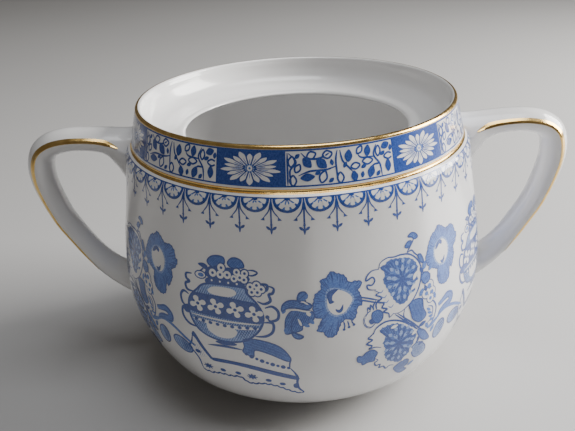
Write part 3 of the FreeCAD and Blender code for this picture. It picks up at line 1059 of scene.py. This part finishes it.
def bud(p):
    p.fill([(16.8, -46.2), (18.6, -45.7), (20.4, -46.4), (21, -48.2), (20.2, -50), (18.6, -50.3),
        (16.8, -50.8), (15.5, -49.6), (15.4, -47.6)], "white", 1)
    p.stroke([(19, -49.6), (17.4, -50.9), (15.8, -50), (15.4, -48), (16.4, -46.4), (17.4, -45.7)], 0.4)
    engraved(p,
        [(18, -46.4), (19.6, -46), (20.9, -47.2), (20.8, -49), (19.4, -50), (18, -49), (17.7, -47.6)],
        layer=2)
    p.fill([(16.8, -48.6), (17.8, -48.3), (18.6, -49.4), (18, -50), (17.2, -49.8)], "dark", 4)
    p.stroke([(16.4, -46.2), (16.6, -44.6), (17.3, -45.4), (17.4, -44), (18.2, -45.4)], 0.36)


def petal_rings(p, centre, reach, tall, layer):
    """Radiating petals of a full flower: a dark heart, long dark petals and short light tips."""
    cx, ch = centre
    for share, count, long, wide, ink, turn in ((0.86, 13, 0.30, 0.2, "light", 0),
            (0.66, 13, 0.34, 0.12, "dark", 14), (0.52, 9, 0.42, 0.2, "light", 6),
            (0.34, 9, 0.50, 0.16, "dark", 26)):
        for k in range(count):
            t = math.radians(turn + 360 * k / count)
            p.leaf(cx + reach * share * math.cos(t), ch + reach * tall * share * math.sin(t), reach * long,
                reach * wide, math.degrees(t), ink, layer)
    p.fill([(cx + reach * 0.2 * math.cos(math.pi * k / 4),
        ch + reach * 0.2 * math.sin(math.pi * k / 4)) for k in range(8)], "dark", layer + 1)


def peony_upper(p):
    p.fill([(20.2, -34.3), (21, -32.6), (23, -31.8), (25.2, -32), (27.6, -31.9), (30.4, -32.6),
        (32.8, -34.8), (33.7, -38), (33, -42), (31, -45.4), (28.4, -47.5), (26.4, -48.5), (23.2, -48.6),
        (21.4, -46.4), (20.2, -43.6), (18.9, -40.4), (16.8, -38.6), (18.6, -37.2), (16.6, -36),
        (18, -34.4)], "white", 2, step=0.8)
    core = [(20.4, -33.8), (22, -33.2), (23.4, -32.3), (25.4, -32.2), (27.4, -32.5), (29.8, -33),
        (31.8, -34.4), (32.9, -36.8), (32, -38.4), (32.8, -40), (31.4, -41.4), (31.6, -43.4), (29.8, -43.8),
        (29, -45.6), (26.8, -46.4), (25, -45.2), (23.5, -42.7), (22.2, -40.2), (21.2, -37.8), (21.8, -35.8)]
    outline = p.fill(core, "mid", 3, ruffle=0.3, wave=1.5)
    p.rays(outline, (27.2, -39), 0.5, "dark", 4, 0.24, 1)
    petal_rings(p, (27.4, -38.8), 5.0, 1.25, 5)
    for a, h, angle in ((31.6, -38.9, 60), (31, -42.0, 40), (29.6, -44.8, 60)):
        p.leaf(a, h, 2.6, 1.1, angle, "white", 6)
    p.stroke([(20.2, -34.3), (20.9, -32.6), (23, -31.7), (25.2, -31.9), (27.6, -31.8), (30.5, -32.5),
        (32.9, -34.9), (33.8, -38), (33, -42.1), (31, -45.5), (28.4, -47.6), (26.4, -48.5), (24, -48.4)],
        0.34, "dark", 3)
    p.stroke([(24.4, -48.2), (23, -49.2), (22.8, -47.9), (21.2, -47), (22.4, -46.4), (20.8, -45.6),
        (21.4, -44.4), (19.6, -43.6), (20.8, -42.6), (19, -41.4), (20, -41), (18.7, -40)], 0.4, "dark", 3)
    p.stroke([(20.3, -34.3), (18.2, -34.3), (16.6, -35.6), (16.4, -36.8), (18.2, -36.1), (18.9, -37.2),
        (18, -38.3), (16.6, -38.1), (17, -39.4), (19.2, -39.9)], 0.36, "dark", 3)
    p.stroke([(21, -34.2), (22, -33.8), (23.6, -34.4)], 0.5, "dark", 4)
    for a, h in ((22.2, -44.2), (21.6, -42.6), (20.6, -40.9), (23.6, -46)):
        p.stroke([(a - 1.0, h + 0.3), (a, h - 0.2), (a + 0.7, h + 0.5)], 0.22, "mid", 3)


def peony_lower(p):
    p.fill([(18, -53.2), (19.2, -51.4), (21.6, -50.4), (24.6, -50.7), (27.6, -52), (30.4, -54.6),
        (33, -57.4), (32.6, -62), (30.6, -66), (26.4, -67.4), (23.6, -67.6), (21, -66.2), (19.6, -64.6),
        (19.2, -62.4), (19.8, -60.2), (17.4, -57.8), (16.8, -55.4)], "white", 2, step=0.8)
    core = [(19.8, -52.5), (22.4, -51.4), (25.6, -51.6), (28.4, -53.4), (31, -55.4), (32.6, -58.2),
        (31.8, -61), (31, -63.6), (29.4, -66.4), (27.2, -66.8), (25.2, -65.6), (23.4, -64.6), (22, -62.2),
        (21.8, -59.4), (21, -57.2), (21.6, -55)]
    outline = p.fill(core, "mid", 3, ruffle=0.35, wave=1.6)
    p.rays(outline, (26.2, -58.8), 0.62, "dark", 4, 0.26, 1)
    petal_rings(p, (26.7, -58.9), 5.1, 1.3, 5)
    for a, h, angle in ((31.6, -56.8, 40), (32.2, -60.0, 80), (31.2, -63.2, 110), (29.4, -65.8, 60),
            (24.6, -52.6, 10)):
        p.leaf(a, h, 2.4, 1.0, angle, "white", 6)
    p.stroke([(18.2, -53.4), (19, -51.6), (21.6, -50.3), (24.6, -50.6), (27.6, -52), (30.6, -54.7)], 0.42,
        "dark", 3)
    p.stroke([(18.6, -52.4), (17.6, -53.6), (16.6, -54.4), (17.9, -55.2), (16.2, -56.2), (17.9, -57.2),
        (17, -58.1), (18.8, -57.9), (20.8, -58.6)], 0.4, "dark", 3)
    p.stroke([(19.2, -62.2), (20.2, -63.2), (19.3, -63.9), (19.8, -65.2), (21.2, -65.2), (21, -66.5),
        (22.4, -66.4), (23.5, -67.8), (24.6, -66.9), (26.2, -67.4)], 0.42, "dark", 3)
    engraved(p, [(13.6, -60.8), (14, -59.9), (15.1, -60.3), (16.3, -59.1), (18.2, -58.7), (19.7, -60.2),
        (19, -62), (19, -63), (17, -63), (15.5, -63.6), (15, -62.6), (13.9, -62)], angle=35, layer=3)


def small_flowers(p):
    engraved(p, [(29.5, -47.2), (31.4, -46.1), (33.8, -46.8), (34.3, -49.8), (35.4, -52.4), (33.2, -53.8),
        (30.8, -52.2), (30, -49.6)], layer=3, angle=80)
    engraved(p, [(33.4, -40.2), (34.6, -38.8), (36.2, -39.2), (37.2, -40.6), (36.4, -42.2), (34.6, -42.4)],
        layer=3, angle=30, ruffle=0.2)
    engraved(p, [(32.9, -33.4), (33.8, -33.2), (34.6, -34.6), (34.8, -36), (33.7, -35.4)], layer=3, angle=70)
    for a, h, length, wide, angle, ink in ((35, -36.9, 2.6, 1.5, 70, "mid"),
            (33.9, -38.0, 2.2, 1.2, 120, "dark"), (37.4, -38.2, 2.4, 1.3, 40, "mid"),
            (35.2, -43.9, 2.0, 1.2, 100, "dark"), (33.6, -44.6, 2.6, 1.3, 60, "mid"),
            (38.8, -47.4, 2.4, 1.2, 110, "mid"), (34.2, -54.9, 2.8, 1.4, 20, "dark"),
            (38.6, -58.4, 2.6, 1.4, 60, "mid"), (33, -60.0, 2.6, 1.3, 75, "dark"),
            (36, -56.2, 2.4, 1.2, 120, "mid"), (32.9, -69.4, 2.6, 1.4, 40, "mid"),
            (34.6, -62.0, 2.2, 1.2, 10, "dark")):
        p.leaf(a, h, length, wide, angle, ink, 4)
    for a, h, size in ((36.6, -43.6, 1.7), (37.6, -45.8, 1.5), (35.4, -45.6, 1.5), (37, -47.6, 1.3)):
        p.dot(a, h, size + 0.3, "dark", 2)
        p.dot(a, h, size, "white", 3)
        p.dot(a, h, size * 0.45, "mid", 4)
    p.stroke([(35.8, -48.4), (38.2, -49), (39.7, -51.8), (38.6, -55.4), (36.2, -57.4)], 0.4)
    p.stroke([(36, -49.8), (37.8, -50.6), (38.2, -52.4), (37.2, -54.8), (35.4, -55.6)], 0.3)
    for k in range(5):
        p.leaf(36.4 + 0.5 * k, -51.0 - 1.3 * k, 2.2, 0.9, -40 + 12 * k, "mid", 2)
    engraved(p, [(31.6, -62.2), (33.8, -61.2), (36.8, -63.8), (37.2, -66.6), (34.2, -67.4), (32.2, -65.4)],
        "light", 3, 70)
    engraved(p, [(32.4, -56.4), (34.6, -57), (36.8, -59.6), (37.8, -61.6), (35.6, -61.2), (33.6, -59.2)],
        "mid", 3, 40)
    engraved(p, [(26.6, -69.2), (27.4, -67.8), (29.6, -66.6), (31.4, -67.2), (31.7, -69), (30.7, -70.4),
        (32.2, -71.8), (30.6, -72.8), (28.6, -71.7)], layer=3, angle=50)
    engraved(p, [(30.1, -27.4), (31.4, -26.6), (32.8, -27.1), (33.4, -28.2), (32.2, -28.5), (31.4, -27.8)],
        layer=1, angle=20)
    engraved(p, [(28.9, -30), (29.9, -28.8), (31.1, -28.8), (30.8, -29.8), (29.8, -30.4)], layer=1, angle=20)


def ribbon_and_fruit(p):
    p.stroke([(40.8, -51.5), (43, -50.9), (45.6, -50.3), (47.6, -51.4), (47.2, -53), (44.4, -53.5),
        (42, -54.2), (40.8, -55.8)], 1.7, "mid", 1)
    p.stroke([(40.6, -51), (43, -50.2), (45.8, -49.5), (48.3, -51.2), (47.8, -53.4), (44.6, -54.2)], 0.3)
    p.stroke([(41, -52.2), (43.4, -51.6), (45.4, -51.1), (46.4, -51.8), (45.8, -52.4), (43, -53),
        (41, -54.2)], 0.26)
    for a, h, wide, tall, angle in ((42.4, -60.4, 6.4, 5.2, 70), (51, -60.2, 7.8, 5.0, -12)):
        t = math.radians(angle)
        shape = []
        for i in range(10):
            s = 2 * math.pi * i / 10
            x, y = wide / 2 * math.cos(s), tall / 2 * math.sin(s)
            shape.append((a + x * math.cos(t) - y * math.sin(t), h + x * math.sin(t) + y * math.cos(t)))
        outline = p.fill(shape, "light", 1)
        right = [(x, y) for x, y in outline if x > a - 0.6]
        p.hatch(outline, 55, 0.6, 0.18, "mid", 2)
        if len(right) > 3:
            p.hatch(right, -50, 0.5, 0.18, "dark", 3)
        p.stroke(outline, 0.32, "dark", 3, closed=True, curved=False)


def spray_group(p):
    stems(p)
    left_leaves(p)
    front_poppy(p)
    far_poppy(p)
    bud(p)
    ribbon_and_fruit(p)
    peony_lower(p)
    peony_upper(p)
    small_flowers(p)


def make_scenes():
    made = []
    vases = Print("print_vases")
    sprays = Print("print_flowers")
    for k in range(SCENES):
        vases.shift = 360.0 / SCENES * k
        sprays.shift = vases.shift
        vase_group(vases)
        spray_group(sprays)
    made.append(vases.build())
    made.append(sprays.build())
    return made


# ---------------------------------------------------------------- the stage

def area_light(name, place_at, aim, size, power, colour):
    data = bpy.data.lights.new(name, "AREA")
    data.shape = "RECTANGLE"
    data.size, data.size_y = size
    data.energy = power
    data.color = colour
    obj = bpy.data.objects.new(name, data)
    obj.location = place_at
    obj.rotation_euler = (Vector(aim) - Vector(place_at)).to_track_quat("-Z", "Y").to_euler()
    bpy.context.scene.collection.objects.link(obj)


def make_stage():
    size = 4.0
    floor = add_object("floor", [(-size, -size, 0), (size, -size, 0), (size, size, 0), (-size, size, 0)],
                       [[0, 1, 2, 3]], floor_material(), False)
    world = bpy.data.worlds.new("soft_room")
    world.use_nodes = True
    background = world.node_tree.nodes["Background"]
    background.inputs["Color"].default_value = (0.94, 0.87, 0.79, 1)
    background.inputs["Strength"].default_value = 0.11
    bpy.context.scene.world = world
    area_light("window", (0.62, 0.10, 0.34), (0, 0, 0.05), (0.42, 0.5), 15.0, (1.0, 0.98, 0.95))
    area_light("top", (0.10, -0.02, 0.9), (0, 0, 0.05), (0.5, 0.5), 4.0, (0.95, 0.97, 1.0))


def make_camera():
    """Camera in front, a little left and above, turned down towards the bowl and rolled slightly."""
    tilt = math.radians(CAMERA_TILT)
    roll = math.radians(CAMERA_ROLL)
    forward = Vector((0, math.cos(tilt), -math.sin(tilt)))
    right = Vector((1, 0, 0))
    up = right.cross(forward)
    right_rolled = right * math.cos(roll) + up * math.sin(roll)
    up_rolled = up * math.cos(roll) - right * math.sin(roll)
    position = Vector(AIM) * MM - forward * CAMERA_DISTANCE * MM
    data = bpy.data.cameras.new("camera")
    data.sensor_width = 36.0
    data.lens = CAMERA_LENS
    data.clip_start = 0.01
    obj = bpy.data.objects.new("camera", data)
    turn = Matrix((right_rolled, up_rolled, -forward)).transposed().to_4x4()
    obj.matrix_world = Matrix.Translation(position) @ turn
    bpy.context.scene.collection.objects.link(obj)
    bpy.context.scene.camera = obj


def build_bowl():
    clay = [make_body(), make_gallery(), make_foot(), make_handle(1, "right_handle"),
        make_handle(-1, "left_handle")]
    gold = make_ring_gilding()
    for side, name in ((1, "right"), (-1, "left")):
        for back, end in ((-1, "front"), (1, "back")):
            gold.append(make_handle_gilding(side, back, name + "_handle_gilding_" + end))
    prints = [make_frieze(), make_lace()] + make_scenes()
    for obj in clay + prints:
        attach(obj, "root")
    for obj in gold:
        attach(obj, "root")


build_bowl()
make_stage()
make_camera()

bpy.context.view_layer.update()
